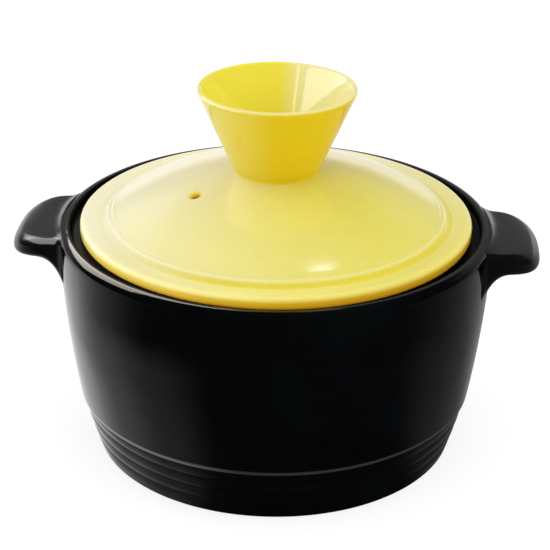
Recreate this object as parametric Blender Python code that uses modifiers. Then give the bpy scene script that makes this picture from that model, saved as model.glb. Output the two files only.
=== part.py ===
"""Earthenware casserole: a black glazed pot with two lug handles, and a yellow domed lid
with a cup-shaped knob. Metres, +Z up. The origin is the middle of the foot, on the surface
that the pot stands on, and the handles lie along X.

Every piece but the handles is turned about Z from a profile of (radius, height) points.
"""
from math import atan, cos, degrees, hypot, pi, radians, sin, sqrt

import bmesh
import bpy
from mathutils import Matrix, Vector

# Clearances between pieces
TOUCH_GAP = 0.0003
LID_EDGE_GAP = 0.0047
MOUTH_CLEARANCE = 0.0016

# Pot: foot and ribbed band
FOOT_RADIUS = 0.0939
FOOT_EDGE_ROUND = 0.0008
FOOT_RING_WIDTH = 0.0090
FOOT_RECESS = 0.0025
BAND_HEIGHT = 0.0290
BAND_TOP_RADIUS = 0.1018
BAND_SWELL = 0.0004
RIB_COUNT = 4
RIB_DEPTH = 0.0009
RIB_SHOULDER = 0.0020
RIB_LEAD = 0.0006

# Pot: wall, floor and rim
WALL_FOOT_RADIUS = 0.1028
WALL_FOOT_ROUND = 0.0010
WALL_SWELL = 0.0016
WALL_THICKNESS = 0.0080
FLOOR_THICKNESS = 0.0085
FLOOR_FILLET = 0.0120
RIM_HEIGHT = 0.1198
RIM_RADIUS = 0.1112
RIM_THICKNESS = 0.0065
RIM_OUTER_ROUND = 0.0045
RIM_INNER_ROUND = 0.0012

# Pot: the ledge that carries the lid, sunk below the rim
LEDGE_DEPTH = 0.0045
LEDGE_WIDTH = 0.0162
LEDGE_THICKNESS = 0.0060
LEDGE_FILLET = 0.0015
LEDGE_UNDERCUT = 0.0072

# Lid: rounded flange, grooved shoulder, dome and locating ring
FLANGE_SEAT_RISE = 0.0047
FLANGE_ROUND = 0.0029
FLANGE_WIDTH = 0.0135
FLANGE_LOWER_ROUND = 0.0015
FLANGE_FOOT_RISE = 0.0010
SEAT_INSET = 0.0055
GROOVE_INSET = 0.0115
GROOVE_DEPTH = 0.0008
BEAD_HEIGHT = 0.0005
BEAD_WIDTH = 0.0024
DOME_FOOT_RISE = 0.0013
DOME_RISE = 0.0248
LID_THICKNESS = 0.0058
RING_DEPTH = 0.0075
RING_WIDTH = 0.0060
RING_EDGE_ROUND = 0.0012

# Vent hole in the lid, with a countersunk mouth
VENT_RADIUS = 0.0021
VENT_MOUTH_RADIUS = 0.0040
VENT_MOUTH_DEPTH = 0.0016
VENT_OFFSET = 0.0468
VENT_BEARING = radians(215)
VENT_CUT = 0.0120

# Knob: a hollow cone, open at the top
KNOB_BASE_RADIUS = 0.0218
KNOB_FOOT_FLARE = 0.0007
KNOB_FLARE_HEIGHT = 0.0020
KNOB_RIM_RADIUS = 0.0400
KNOB_HEIGHT = 0.0434
KNOB_WALL = 0.0028
KNOB_FLOOR_THICKNESS = 0.0095
KNOB_FLOOR_FILLET = 0.0060

# Handles: lugs that grow out of the wall just under the rim
HANDLE_REACH = 0.0236
HANDLE_HALF_WIDTH = 0.0318
HANDLE_DEPTH = 0.0320
HANDLE_SQUARENESS = 3.0
HANDLE_DROP = 0.0030
HANDLE_THICKNESS = 0.0106
HANDLE_TOP_DROOP = 0.0048
HANDLE_UNDER_DROOP = 0.0026
HANDLE_TOP_ROUND = 0.0044
HANDLE_BOTTOM_ROUND = 0.0034
HANDLE_SINK = 0.0060
ARCH_REACH = 0.0140
ARCH_DROP = 0.0135
ARCH_BITE = 0.0008
CREASE_REACH = 0.0090
CREASE_RISE = 0.0030
CREASE_BITE = 0.0017

# Steps that round the meshes
SEGMENTS = 64
VENT_SEGMENTS = 16
SEAT_SEGMENTS = 256
WALL_STEPS = 6
RIM_STEPS = 4
FLOOR_STEPS = 4
EDGE_STEPS = 2
DOME_STEPS = 9
UNDER_DOME_STEPS = 6
FLANGE_STEPS = 6
LIP_STEPS = 6
KNOB_STEPS = 3
HANDLE_PLAN_STEPS = 40
HANDLE_EDGE_STEPS = 3
ARCH_STEPS = 6
CREASE_STEPS = 3
MERGE_DISTANCE = 0.00002
SHARP_ANGLE = radians(35)

# Sizes that follow from the ones above
ledge_radius = RIM_RADIUS - RIM_THICKNESS
mouth_radius = ledge_radius - LEDGE_WIDTH
ledge_height = RIM_HEIGHT - LEDGE_DEPTH
wall_low = BAND_HEIGHT + WALL_FOOT_ROUND
wall_high = RIM_HEIGHT - RIM_OUTER_ROUND
lid_radius = ledge_radius - LID_EDGE_GAP
seat_height = ledge_height + TOUCH_GAP
flange_height = seat_height + FLANGE_SEAT_RISE
flange_top = flange_height + FLANGE_ROUND
flange_foot = seat_height + FLANGE_FOOT_RISE
dome_foot_radius = lid_radius - FLANGE_WIDTH
dome_foot_height = flange_top + DOME_FOOT_RISE
dome_sphere = (dome_foot_radius ** 2 + DOME_RISE ** 2) / (2 * DOME_RISE)
dome_centre = dome_foot_height + DOME_RISE - dome_sphere
ring_radius = mouth_radius - MOUTH_CLEARANCE
handle_root = RIM_HEIGHT - HANDLE_DROP - HANDLE_THICKNESS
crease_start = RIM_RADIUS - CREASE_BITE
droop_start = crease_start + CREASE_REACH
handle_tip = RIM_RADIUS + HANDLE_REACH


def arc(centre_r, centre_z, radius, start_deg, end_deg, steps):
    """Points on a circular arc in the (radius, height) plane, both ends included."""
    points = []
    for step in range(steps + 1):
        angle = radians(start_deg + (end_deg - start_deg) * step / steps)
        points.append((centre_r + radius * cos(angle), centre_z + radius * sin(angle)))
    return points


def on_sphere(radius_of_sphere, distance):
    """Height of a sphere about the dome's centre, at a distance from the pot's axis."""
    return dome_centre + sqrt(radius_of_sphere ** 2 - distance ** 2)


def swelling(low_radius, high_radius, share, swell):
    """A straight taper between two radii, swollen most halfway up."""
    return low_radius + (high_radius - low_radius) * share + swell * 4 * share * (1 - share)


def band_radius(height):
    """Outer radius of the ribbed band, measured over its ribs."""
    return swelling(FOOT_RADIUS, BAND_TOP_RADIUS, height / BAND_HEIGHT, BAND_SWELL)


def wall_radius(height):
    """Outer radius of the wall between the step above the band and the rim."""
    share = (height - wall_low) / (wall_high - wall_low)
    return swelling(WALL_FOOT_RADIUS, RIM_RADIUS, share, WALL_SWELL)


def outer_wall(grown):
    """From the top of the rim, round its outer edge and down the wall, grown outwards."""
    points = arc(RIM_RADIUS - RIM_OUTER_ROUND, wall_high, RIM_OUTER_ROUND + grown, 90, 0, RIM_STEPS)
    for step in range(1, WALL_STEPS + 1):
        height = wall_high + (wall_low - wall_high) * step / WALL_STEPS
        points.append((wall_radius(height) + grown, height))
    return points


def rib_points():
    """The ribbed band from top to bottom: rounded ribs with narrow grooves between them."""
    pitch = (BAND_HEIGHT - FOOT_EDGE_ROUND) / RIB_COUNT
    points = []
    for rib in range(RIB_COUNT):
        top = BAND_HEIGHT - rib * pitch
        groove = top - RIB_LEAD
        points.append((band_radius(groove) - RIB_DEPTH, groove))
        for crest in (top - RIB_SHOULDER, top - pitch + RIB_SHOULDER):
            points.append((band_radius(crest), crest))
    return points


def pot_profile():
    """From the middle of the inside floor, up the inside, over the rim and down to the foot."""
    floor_height = FOOT_RECESS + FLOOR_THICKNESS
    inner_low = band_radius(floor_height) - WALL_THICKNESS
    inner_high = wall_radius(ledge_height) - WALL_THICKNESS
    undercut_high = ledge_height - LEDGE_THICKNESS
    foot_inner = FOOT_RADIUS - FOOT_RING_WIDTH

    points = [(0, floor_height)]
    points += arc(
        inner_low - FLOOR_FILLET, floor_height + FLOOR_FILLET, FLOOR_FILLET, -90, 0, FLOOR_STEPS)
    points += [(inner_high, undercut_high - LEDGE_UNDERCUT), (mouth_radius, undercut_high)]
    points += arc(
        mouth_radius + LEDGE_FILLET, ledge_height - LEDGE_FILLET, LEDGE_FILLET, 180, 90, EDGE_STEPS)
    points += arc(
        ledge_radius - LEDGE_FILLET, ledge_height + LEDGE_FILLET, LEDGE_FILLET, -90, 0, EDGE_STEPS)
    points += arc(
        ledge_radius + RIM_INNER_ROUND, RIM_HEIGHT - RIM_INNER_ROUND, RIM_INNER_ROUND, 180, 90,
        EDGE_STEPS)
    points += outer_wall(0)
    points.append((WALL_FOOT_RADIUS - WALL_FOOT_ROUND, BAND_HEIGHT))
    points += rib_points()
    points += arc(
        FOOT_RADIUS - FOOT_EDGE_ROUND, FOOT_EDGE_ROUND, FOOT_EDGE_ROUND, 0, -90, EDGE_STEPS)
    points += [(foot_inner, 0), (foot_inner - FOOT_RECESS, FOOT_RECESS), (0, FOOT_RECESS)]
    return points


def lid_profile():
    """From the top of the dome, down over the flange, and back under to the middle."""
    bead_inner = dome_foot_radius - BEAD_WIDTH
    bead_middle = dome_foot_radius - BEAD_WIDTH / 2
    ring_low = seat_height - RING_DEPTH
    ring_inner = ring_radius - RING_WIDTH
    hollow_radius = ring_inner - RING_EDGE_ROUND
    hollow_sphere = dome_sphere - LID_THICKNESS

    points = []
    for step in range(DOME_STEPS + 1):
        distance = bead_inner * step / DOME_STEPS
        points.append((distance, on_sphere(dome_sphere, distance)))
    points.append((bead_middle, on_sphere(dome_sphere, bead_middle) + BEAD_HEIGHT))
    points.append((dome_foot_radius, dome_foot_height))
    points.append((lid_radius - GROOVE_INSET, flange_top - GROOVE_DEPTH))
    points += arc(lid_radius - FLANGE_ROUND, flange_height, FLANGE_ROUND, 90, 0, FLANGE_STEPS)
    points += arc(
        lid_radius - FLANGE_LOWER_ROUND, flange_foot + FLANGE_LOWER_ROUND, FLANGE_LOWER_ROUND,
        0, -90, EDGE_STEPS)
    points.append((lid_radius - SEAT_INSET, seat_height))
    points.append((ring_radius, seat_height))
    points += arc(
        ring_radius - RING_EDGE_ROUND, ring_low + RING_EDGE_ROUND, RING_EDGE_ROUND, 0, -90,
        EDGE_STEPS)
    points.append((ring_inner, ring_low))
    for step in range(UNDER_DOME_STEPS + 1):
        distance = hollow_radius * (1 - step / UNDER_DOME_STEPS)
        points.append((distance, on_sphere(hollow_sphere, distance)))
    return points


def knob_profile():
    """From the middle of the cup's floor, up the inside, over the lip and down to the dome."""
    base_height = on_sphere(dome_sphere, KNOB_BASE_RADIUS)
    top = base_height + KNOB_HEIGHT
    lip_round = KNOB_WALL / 2
    taper = (KNOB_RIM_RADIUS - KNOB_BASE_RADIUS) / KNOB_HEIGHT
    lean = degrees(atan(taper))
    floor_height = on_sphere(dome_sphere, 0) + KNOB_FLOOR_THICKNESS
    floor_radius = KNOB_BASE_RADIUS + taper * (floor_height - base_height) - KNOB_WALL
    fillet_radius = floor_radius + (taper - 1) * KNOB_FLOOR_FILLET
    foot_radius = KNOB_BASE_RADIUS + KNOB_FOOT_FLARE
    under_sphere = dome_sphere + TOUCH_GAP

    points = [(0, floor_height)]
    points += arc(
        fillet_radius, floor_height + KNOB_FLOOR_FILLET, KNOB_FLOOR_FILLET, -90, -lean,
        KNOB_STEPS)
    points += arc(
        KNOB_RIM_RADIUS - lip_round, top - lip_round, lip_round, 180 - lean, -lean,
        LIP_STEPS)
    points.append((KNOB_BASE_RADIUS + taper * KNOB_FLARE_HEIGHT, base_height + KNOB_FLARE_HEIGHT))
    for step in range(KNOB_STEPS + 1):
        distance = foot_radius * (1 - step / KNOB_STEPS)
        points.append((distance, on_sphere(under_sphere, distance)))
    return points


def droop_share(distance):
    """How far along a handle a point lies, from the crease at 0 to the tip at 1, squared."""
    return max((distance - droop_start) / (handle_tip - droop_start), 0) ** 2


def hollow(distance, start, reach):
    """A smooth hollow that begins at 1 where a face meets the wall and ends level at 0."""
    return (1 - min(max((distance - start) / reach, 0), 1)) ** 3


def handle_top(distance):
    """Height of a handle's top face: a hollow crease beside the rim, then a drooping tip."""
    rise = CREASE_RISE * hollow(distance, crease_start, CREASE_REACH)
    return RIM_HEIGHT - HANDLE_DROP + rise - HANDLE_TOP_DROOP * droop_share(distance)


def handle_under(distance):
    """Height of a handle's underside, arched down into the wall."""
    drop = ARCH_DROP * hollow(distance, wall_radius(handle_root) - ARCH_BITE, ARCH_REACH)
    return handle_root - drop - HANDLE_UNDER_DROOP * droop_share(distance)


def outline_point(angle, inset):
    """A point of the handle's rounded outline, seen from above, drawn in by an inset."""
    power = HANDLE_SQUARENESS
    reach = (abs(cos(angle)) ** power + abs(sin(angle)) ** power) ** (-1 / power)
    x = handle_tip - HANDLE_DEPTH + (HANDLE_DEPTH - inset) * reach * cos(angle)
    y = (HANDLE_HALF_WIDTH - inset) * reach * sin(angle)
    return x, y


def handle_rows():
    """Rows of points from the wall over the top face, round the edge and back under to the
    wall. Those near the wall keep to circles about the pot's axis."""
    sunk = wall_radius(wall_high) - HANDLE_SINK
    top_rows = [sunk]
    for step in range(CREASE_STEPS + 1):
        top_rows.append(crease_start + CREASE_REACH * step / CREASE_STEPS)
    arch_start = wall_radius(handle_root) - ARCH_BITE
    under_rows = [sunk]
    for step in range(ARCH_STEPS + 1):
        under_rows.append(arch_start + ARCH_REACH * step / ARCH_STEPS)
    angles = []
    for step in range(HANDLE_PLAN_STEPS + 1):
        angles.append(pi * (step / HANDLE_PLAN_STEPS - 1 / 2))

    def row_within(distance, inset, height):
        row = []
        for angle in angles:
            x, y = outline_point(angle, inset)
            share = min(distance / hypot(x, y), 1)
            row.append((x * share, y * share, height(hypot(x, y) * share)))
        return row

    rows = []
    for distance in top_rows:
        rows.append(row_within(distance, HANDLE_TOP_ROUND, handle_top))
    for size, side, height, first in (
            (HANDLE_TOP_ROUND, -1, handle_top, 0),
            (HANDLE_BOTTOM_ROUND, 1, handle_under, HANDLE_EDGE_STEPS)):
        for step in range(HANDLE_EDGE_STEPS + 1):
            turn = pi / 2 * abs(first - step) / HANDLE_EDGE_STEPS
            row = []
            for angle in angles:
                x, y = outline_point(angle, size * (1 - sin(turn)))
                row.append((x, y, height(hypot(x, y)) + side * size * (1 - cos(turn))))
            rows.append(row)
    for distance in reversed(under_rows):
        rows.append(row_within(distance, HANDLE_BOTTOM_ROUND, handle_under))
    return rows


def handle_mesh():
    """A lug for the +X side, skinned over its rows and closed at both ends."""
    build = bmesh.new()
    corners = [[build.verts.new(point) for point in row] for row in handle_rows()]
    for row, following in zip(corners, corners[1:] + corners[:1]):
        for step in range(HANDLE_PLAN_STEPS):
            build.faces.new((row[step], row[step + 1], following[step + 1], following[step]))
    build.faces.new([row[0] for row in corners])
    build.faces.new([row[-1] for row in reversed(corners)])
    bmesh.ops.remove_doubles(build, verts=build.verts, dist=MERGE_DISTANCE)
    bmesh.ops.recalc_face_normals(build, faces=build.faces)
    mesh = bpy.data.meshes.new("handle")
    build.to_mesh(mesh)
    build.free()
    return mesh


def glaze(name, colour, roughness):
    """A fired glaze: a dielectric with the piece's own colour and gloss."""
    material = bpy.data.materials.new(name)
    material.use_nodes = True
    shader = material.node_tree.nodes["Principled BSDF"]
    shader.inputs["Base Color"].default_value = (*colour, 1)
    shader.inputs["Roughness"].default_value = roughness
    shader.inputs["Metallic"].default_value = 0
    return material


def turned(name, profile, collection, segments=SEGMENTS):
    """An object turned about its own Z axis from a profile of (radius, height) points."""
    mesh = bpy.data.meshes.new(name)
    edges = [(index, index + 1) for index in range(len(profile) - 1)]
    mesh.from_pydata([(radius, 0, height) for radius, height in profile], edges, [])
    piece = bpy.data.objects.new(name, mesh)
    collection.objects.link(piece)
    screw = piece.modifiers.new("turn", 'SCREW')
    screw.steps = segments
    screw.render_steps = segments
    screw.use_merge_vertices = True
    screw.merge_threshold = MERGE_DISTANCE
    return piece


def as_mesh(piece):
    """Replace an object's modifiers by the mesh that they make, shaded smooth."""
    bpy.context.view_layer.update()
    graph = bpy.context.evaluated_depsgraph_get()
    mesh = bpy.data.meshes.new_from_object(piece.evaluated_get(graph))
    piece.modifiers.clear()
    piece.data = mesh
    mesh.shade_smooth()
    mesh.set_sharp_from_angle(angle=SHARP_ANGLE)


def cut(piece, cutter):
    """Take the cutter's shape away from a piece."""
    boolean = piece.modifiers.new("cut", 'BOOLEAN')
    boolean.operation = 'DIFFERENCE'
    boolean.solver = 'EXACT'
    boolean.object = cutter


def hide_cutter(cutter):
    cutter.hide_render = True
    cutter.display_type = 'WIRE'


def make_pot(parts):
    pot = turned("pot_body", pot_profile(), parts)
    as_mesh(pot)
    pot.data.materials.append(glaze("black_gloss_glaze", (0.010, 0.011, 0.013), 0.28))


def make_wall_cutter(cutters):
    """The pot's outside as a full solid, grown by the touching gap, to seat the handles on."""
    above = RIM_HEIGHT + HANDLE_THICKNESS
    points = [(0, above), (RIM_RADIUS - RIM_OUTER_ROUND, above)]
    points += outer_wall(TOUCH_GAP)
    points.append((0, wall_low))
    cutter = turned("wall_cutter", points, cutters, SEAT_SEGMENTS)
    as_mesh(cutter)
    hide_cutter(cutter)
    return cutter


def make_handles(parts, cutters):
    """Two equal lugs, the left one turned half round the pot's axis."""
    cutter = make_wall_cutter(cutters)
    for name, turn in (("right_handle", 0), ("left_handle", pi)):
        handle = bpy.data.objects.new(name, handle_mesh())
        parts.objects.link(handle)
        handle.data.transform(Matrix.Rotation(turn, 4, 'Z'))
        cut(handle, cutter)
        as_mesh(handle)
        handle.data.materials.append(glaze(name + "_glaze", (0.016, 0.017, 0.019), 0.42))


def make_vent_cutter(cutters):
    """A countersunk drill that stands square to the dome where the vent hole goes."""
    cutter = turned("vent_cutter", [
        (0, VENT_CUT),
        (VENT_MOUTH_RADIUS, VENT_CUT),
        (VENT_MOUTH_RADIUS, 0),
        (VENT_RADIUS, -VENT_MOUTH_DEPTH),
        (VENT_RADIUS, -VENT_CUT),
        (0, -VENT_CUT)], cutters, VENT_SEGMENTS)
    lean = VENT_OFFSET / dome_sphere
    outward = Vector((cos(VENT_BEARING) * lean, sin(VENT_BEARING) * lean, sqrt(1 - lean ** 2)))
    cutter.location = Vector((0, 0, dome_centre)) + outward * dome_sphere
    cutter.rotation_mode = 'QUATERNION'
    cutter.rotation_quaternion = outward.to_track_quat('Z', 'Y')
    as_mesh(cutter)
    hide_cutter(cutter)
    return cutter


def make_lid(parts, cutters):
    lid = turned("lid", lid_profile(), parts)
    as_mesh(lid)
    cut(lid, make_vent_cutter(cutters))
    as_mesh(lid)
    lid.data.materials.append(glaze("yellow_dome_glaze", (0.83, 0.72, 0.27), 0.30))
    return lid


def make_knob(parts):
    knob = turned("lid_knob", knob_profile(), parts)
    as_mesh(knob)
    knob.data.materials.append(glaze("yellow_knob_glaze", (0.80, 0.64, 0.06), 0.24))
    return knob


def main():
    for leftover in list(bpy.data.objects):
        bpy.data.objects.remove(leftover)
    parts = bpy.data.collections.new("earthenware_pot")
    cutters = bpy.data.collections.new("cutters")
    for collection in (parts, cutters):
        bpy.context.scene.collection.children.link(collection)

    make_pot(parts)
    make_handles(parts, cutters)
    lift = bpy.data.objects.new("lid_lift", None)
    lift.location.z = seat_height
    parts.objects.link(lift)
    for piece in (make_lid(parts, cutters), make_knob(parts)):
        piece.parent = lift
        piece.matrix_parent_inverse = lift.matrix_basis.inverted()

    for piece in parts.objects:
        if piece.type == 'MESH':
            print(piece.name, len(piece.data.polygons), "faces")


main()
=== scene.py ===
# %% [markdown]
# # A lidded earthenware pot
# The real pot is thrown on a wheel from wet clay, given two lugs and a knob that are stuck on with
# slip, and coated with glaze: black on the pot, yellow on the lid. This script dresses the plain
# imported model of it. Each piece is made again with fine curves and a glaze of its own, in the same
# place and at the same size, and rides on the body that carries it.

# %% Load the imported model
from math import atan, cos, degrees, hypot, pi, radians, sin, sqrt

import bmesh
import bpy
from mathutils import Matrix, Vector


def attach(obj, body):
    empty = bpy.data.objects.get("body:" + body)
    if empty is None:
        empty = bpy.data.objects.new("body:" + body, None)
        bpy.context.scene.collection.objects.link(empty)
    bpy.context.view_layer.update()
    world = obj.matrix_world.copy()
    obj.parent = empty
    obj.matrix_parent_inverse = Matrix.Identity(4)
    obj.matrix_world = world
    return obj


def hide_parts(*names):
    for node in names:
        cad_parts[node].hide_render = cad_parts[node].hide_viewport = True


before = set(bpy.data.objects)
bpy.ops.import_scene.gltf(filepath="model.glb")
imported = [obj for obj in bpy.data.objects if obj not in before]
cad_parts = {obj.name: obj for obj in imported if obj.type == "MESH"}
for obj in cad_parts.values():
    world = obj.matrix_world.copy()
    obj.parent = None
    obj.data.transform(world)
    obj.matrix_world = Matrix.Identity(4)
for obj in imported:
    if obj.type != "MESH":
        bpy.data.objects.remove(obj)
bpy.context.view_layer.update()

# %% [markdown]
# ## The camera
# The photograph was taken from a little above the rim, with a long lens. The camera is placed by
# its height angle, its distance and the point that it looks at, and then leans half a degree, as
# the photographer's did. It stands 4 degrees to the right of the pot's front.

# %% Place the camera
mm = 0.001
camera_height_angle = radians(25.20)
camera_distance = 900 * mm
camera_aim = Vector((-0.26 * mm, 0, 87.97 * mm))
camera_bearing = radians(4)
camera_lean = radians(0.557)
lens_in_pixels = 1729.83
image_width = 550


def put_in_scene(name, data):
    """A new object in the scene, at its origin."""
    thing = bpy.data.objects.new(name, data)
    bpy.context.scene.collection.objects.link(thing)
    return thing


camera = put_in_scene("photo_camera", bpy.data.cameras.new("photo_camera"))
camera.data.sensor_width = 36
camera.data.lens = lens_in_pixels / image_width * camera.data.sensor_width
camera.data.clip_start = 10 * mm
backwards = Vector((0, -cos(camera_height_angle), sin(camera_height_angle)))
stand = camera_aim + camera_distance * backwards
facing = (camera_aim - stand).to_track_quat("-Z", "Y").to_matrix().to_4x4()
camera.matrix_world = (Matrix.Rotation(camera_bearing, 4, "Z") @ Matrix.Translation(stand)
                       @ facing @ Matrix.Rotation(camera_lean, 4, "Z"))
bpy.context.scene.camera = camera
print("lens", round(camera.data.lens, 1), "mm")

# %% [markdown]
# ## The measures
# A potter works from a few measures: the foot, the rim, the height, the gallery that the lid sits
# on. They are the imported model's own, so each piece that is made here fits over the plain one.

# %% Measures of the pot
foot_radius = 93.9 * mm
foot_edge_round = 0.8 * mm
foot_ring_width = 9.0 * mm
foot_recess = 2.5 * mm
band_height = 29.0 * mm
band_top_radius = 101.8 * mm
band_swell = 0.4 * mm
rib_count = 4
rib_depth = 0.85 * mm
wall_foot_radius = 102.8 * mm
wall_foot_round = 1.0 * mm
wall_swell = 1.6 * mm
wall_thickness = 8.0 * mm
floor_thickness = 8.5 * mm
floor_fillet = 12.0 * mm
rim_height = 119.8 * mm
rim_radius = 111.2 * mm
rim_outer_round = 4.5 * mm
rim_inner_round = 1.2 * mm
ledge_radius = 104.7 * mm
ledge_height = 115.3 * mm
ledge_thickness = 6.0 * mm
ledge_fillet = 1.5 * mm
ledge_undercut = 7.2 * mm
mouth_radius = 88.5 * mm
wall_low = band_height + wall_foot_round   # the wall between the band and the rim's round
wall_high = rim_height - rim_outer_round

# %% Measures of the lid and its knob
lid_radius = 100.0 * mm
seat_height = 115.6 * mm
seat_inset = 5.5 * mm
flange_height = 120.3 * mm
flange_round = 2.9 * mm
flange_lower_round = 1.5 * mm
flange_foot = 116.6 * mm
flange_top = flange_height + flange_round
dome_foot_radius = 86.5 * mm
dome_foot_height = 124.5 * mm
dome_rise = 24.8 * mm
groove_radius = 88.6 * mm
groove_depth = 0.6 * mm
beads = ((85.6 * mm, 0.28 * mm, 1.2 * mm),   # radius, height and half width of a fine bead
         (82.9 * mm, 0.13 * mm, 1.1 * mm))
beads_begin = 78 * mm
lid_thickness = 5.8 * mm
ring_radius = 86.9 * mm
ring_depth = 7.5 * mm
ring_width = 6.0 * mm
ring_edge_round = 1.2 * mm
ring_root_chamfer = 0.6 * mm
vent_radius = 2.1 * mm
vent_mouth_radius = 4.0 * mm
vent_offset = 46.8 * mm
vent_bearing = radians(215)
knob_base_radius = 21.8 * mm
knob_rim_radius = 40.0 * mm
knob_height = 43.4 * mm
knob_wall = 2.8 * mm
knob_floor_thickness = 9.5 * mm
knob_floor_fillet = 6.0 * mm
knob_foot_flare = 0.3 * mm
knob_flare_height = 1.2 * mm
knob_foot_sunk = 0.2 * mm
knob_under_sunk = 0.4 * mm
knob_taper = (knob_rim_radius - knob_base_radius) / knob_height

# The dome is part of a ball: its size follows from how far it rises over how wide a foot.
dome_ball = (dome_foot_radius ** 2 + dome_rise ** 2) / (2 * dome_rise)
dome_centre = dome_foot_height + dome_rise - dome_ball
print("dome ball", round(dome_ball / mm, 1), "mm, centre at", round(dome_centre / mm, 1), "mm")

# %% [markdown]
# ## Drawing the profiles
# Everything that comes off a wheel is a profile turned about an axis. A profile here is a list of
# (radius, height) points, from the middle of one side, round the edge, to the middle of the other.
# Arcs stand for what a potter's fingers and sponge leave: no edge on the real pot is sharp.

# %% Helpers for a profile
def arc(centre_r, centre_z, radius, start_deg, end_deg, steps=8):
    """Points on a circular arc in the (radius, height) plane, both ends included."""
    turns = [radians(start_deg + (end_deg - start_deg) * step / steps) for step in range(steps + 1)]
    return [(centre_r + radius * cos(turn), centre_z + radius * sin(turn)) for turn in turns]


def on_ball(ball_radius, distance):
    """Height of a ball about the dome's centre, at a distance from the pot's axis."""
    return dome_centre + sqrt(ball_radius ** 2 - distance ** 2)


def between(low, high, steps):
    """Values from low to high, both included."""
    return [low + (high - low) * step / steps for step in range(steps + 1)]


def ease(value, low, high):
    """0 below low, 1 above high, and a smooth step between."""
    share = min(max((value - low) / (high - low), 0), 1)
    return share * share * (3 - 2 * share)


def soft_step(share):
    """A step from 0 to 1 that is level at both ends."""
    return ease(share, 0, 1)


def joined(start, end, steps, bend=lambda share: share):
    """Points from one point to another, both included; a bend shapes how the height changes."""
    return [(start[0] + (end[0] - start[0]) * share, start[1] + (end[1] - start[1]) * bend(share))
            for share in between(0, 1, steps)]


def swelling(low_radius, high_radius, share, swell):
    """A straight taper between two radii, swollen most halfway up."""
    return low_radius + (high_radius - low_radius) * share + swell * 4 * share * (1 - share)


def band_radius(height):
    """Outer radius of the ribbed band, measured over its ribs."""
    return swelling(foot_radius, band_top_radius, height / band_height, band_swell)


def wall_radius(height):
    """Outer radius of the wall between the step above the band and the rim."""
    share = (height - wall_low) / (wall_high - wall_low)
    return swelling(wall_foot_radius, rim_radius, share, wall_swell)


# %% The pot's profile
def pot_profile():
    """From the middle of the inside floor, up the inside, over the rim and down to the foot.
    The band's points come back too, so that the wheel knows where to cut the ribs."""
    inside_floor = foot_recess + floor_thickness
    inner_low = band_radius(inside_floor) - wall_thickness
    inner_high = wall_radius(ledge_height) - wall_thickness
    undercut_high = ledge_height - ledge_thickness
    undercut_low = undercut_high - ledge_undercut
    foot_inner = foot_radius - foot_ring_width

    points = joined((0, inside_floor), (inner_low - floor_fillet, inside_floor), 10)[:-1]
    points += arc(inner_low - floor_fillet, inside_floor + floor_fillet, floor_fillet, -90, 0, 10)
    points += joined((inner_low, inside_floor + floor_fillet), (inner_high, undercut_low), 16)[1:]
    points.append((mouth_radius, undercut_high))
    points += arc(mouth_radius + ledge_fillet, ledge_height - ledge_fillet, ledge_fillet, 180, 90)
    points += arc(ledge_radius - ledge_fillet, ledge_height + ledge_fillet, ledge_fillet, -90, 0)
    points += arc(ledge_radius + rim_inner_round, rim_height - rim_inner_round, rim_inner_round,
                  180, 90)
    points += arc(rim_radius - rim_outer_round, wall_high, rim_outer_round, 90, 0, 18)
    points += [(wall_radius(height), height) for height in between(wall_high, wall_low, 36)[1:]]
    points += arc(wall_foot_radius - wall_foot_round, wall_low, wall_foot_round, 0, -90, 5)[1:]
    band = [(band_radius(height), height) for height in between(band_height, foot_edge_round, 64)]
    ribbed = range(len(points), len(points) + len(band))
    points += band
    points += arc(foot_radius - foot_edge_round, foot_edge_round, foot_edge_round, 0, -90)[1:]
    points += joined((foot_radius - foot_edge_round, 0), (foot_inner, 0), 6)[1:]
    points += [(foot_inner - foot_recess, foot_recess), (0, foot_recess)]
    return points, ribbed


pot_points, ribbed_points = pot_profile()
print("pot profile:", len(pot_points), "points,", len(ribbed_points), "on the ribbed band")

# %% [markdown]
# The lid's dome ends in two fine beads, a shallow groove and a rolled flange. They were cut with a
# turning tool while the clay was leather hard, and they catch the light as thin lines.

# %% The lid's profile
def dome_detail(distance):
    """Height of the dome's upper side at a distance from the axis. Two fine beads ride on its
    foot."""
    height = on_ball(dome_ball, distance)
    for bead_radius, bead_height, half_width in beads:
        away = (distance - bead_radius) / half_width
        height += bead_height * max(1 - away * away, 0) ** 2
    return height


def lid_profile():
    """From the top of the dome, through the groove, over the flange, and back under to the
    middle."""
    ring_low = seat_height - ring_depth
    ring_inner = ring_radius - ring_width
    hollow_radius = ring_inner - ring_edge_round
    crown = lid_radius - flange_round
    groove = (groove_radius, flange_top - groove_depth)

    distances = between(0, beads_begin, 26) + between(beads_begin, dome_foot_radius, 36)[1:]
    points = [(distance, dome_detail(distance)) for distance in distances]
    points += joined((dome_foot_radius, dome_foot_height), groove, 8, soft_step)[1:]
    points += joined(groove, (crown, flange_top), 14, soft_step)[1:]
    points += arc(crown, flange_height, flange_round, 90, 0, 14)[1:]
    points += arc(lid_radius - flange_lower_round, flange_foot + flange_lower_round,
                  flange_lower_round, 0, -90, 8)
    points += [(lid_radius - seat_inset, seat_height),
               (ring_radius + ring_root_chamfer, seat_height),
               (ring_radius, seat_height - ring_root_chamfer)]
    edge_height = ring_low + ring_edge_round
    points += arc(ring_radius - ring_edge_round, edge_height, ring_edge_round, 0, -90, 6)
    points += arc(ring_inner + ring_edge_round, edge_height, ring_edge_round, -90, -180, 6)
    points += [(distance, on_ball(dome_ball - lid_thickness, distance))
               for distance in between(hollow_radius, 0, 30)]
    return points


lid_points = lid_profile()
print("lid profile:", len(lid_points), "points")

# %% [markdown]
# The knob is a little cup with a flaring wall. It was thrown separately, and its foot is spread
# onto the dome with slip, which leaves a soft curve instead of a corner.

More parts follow.
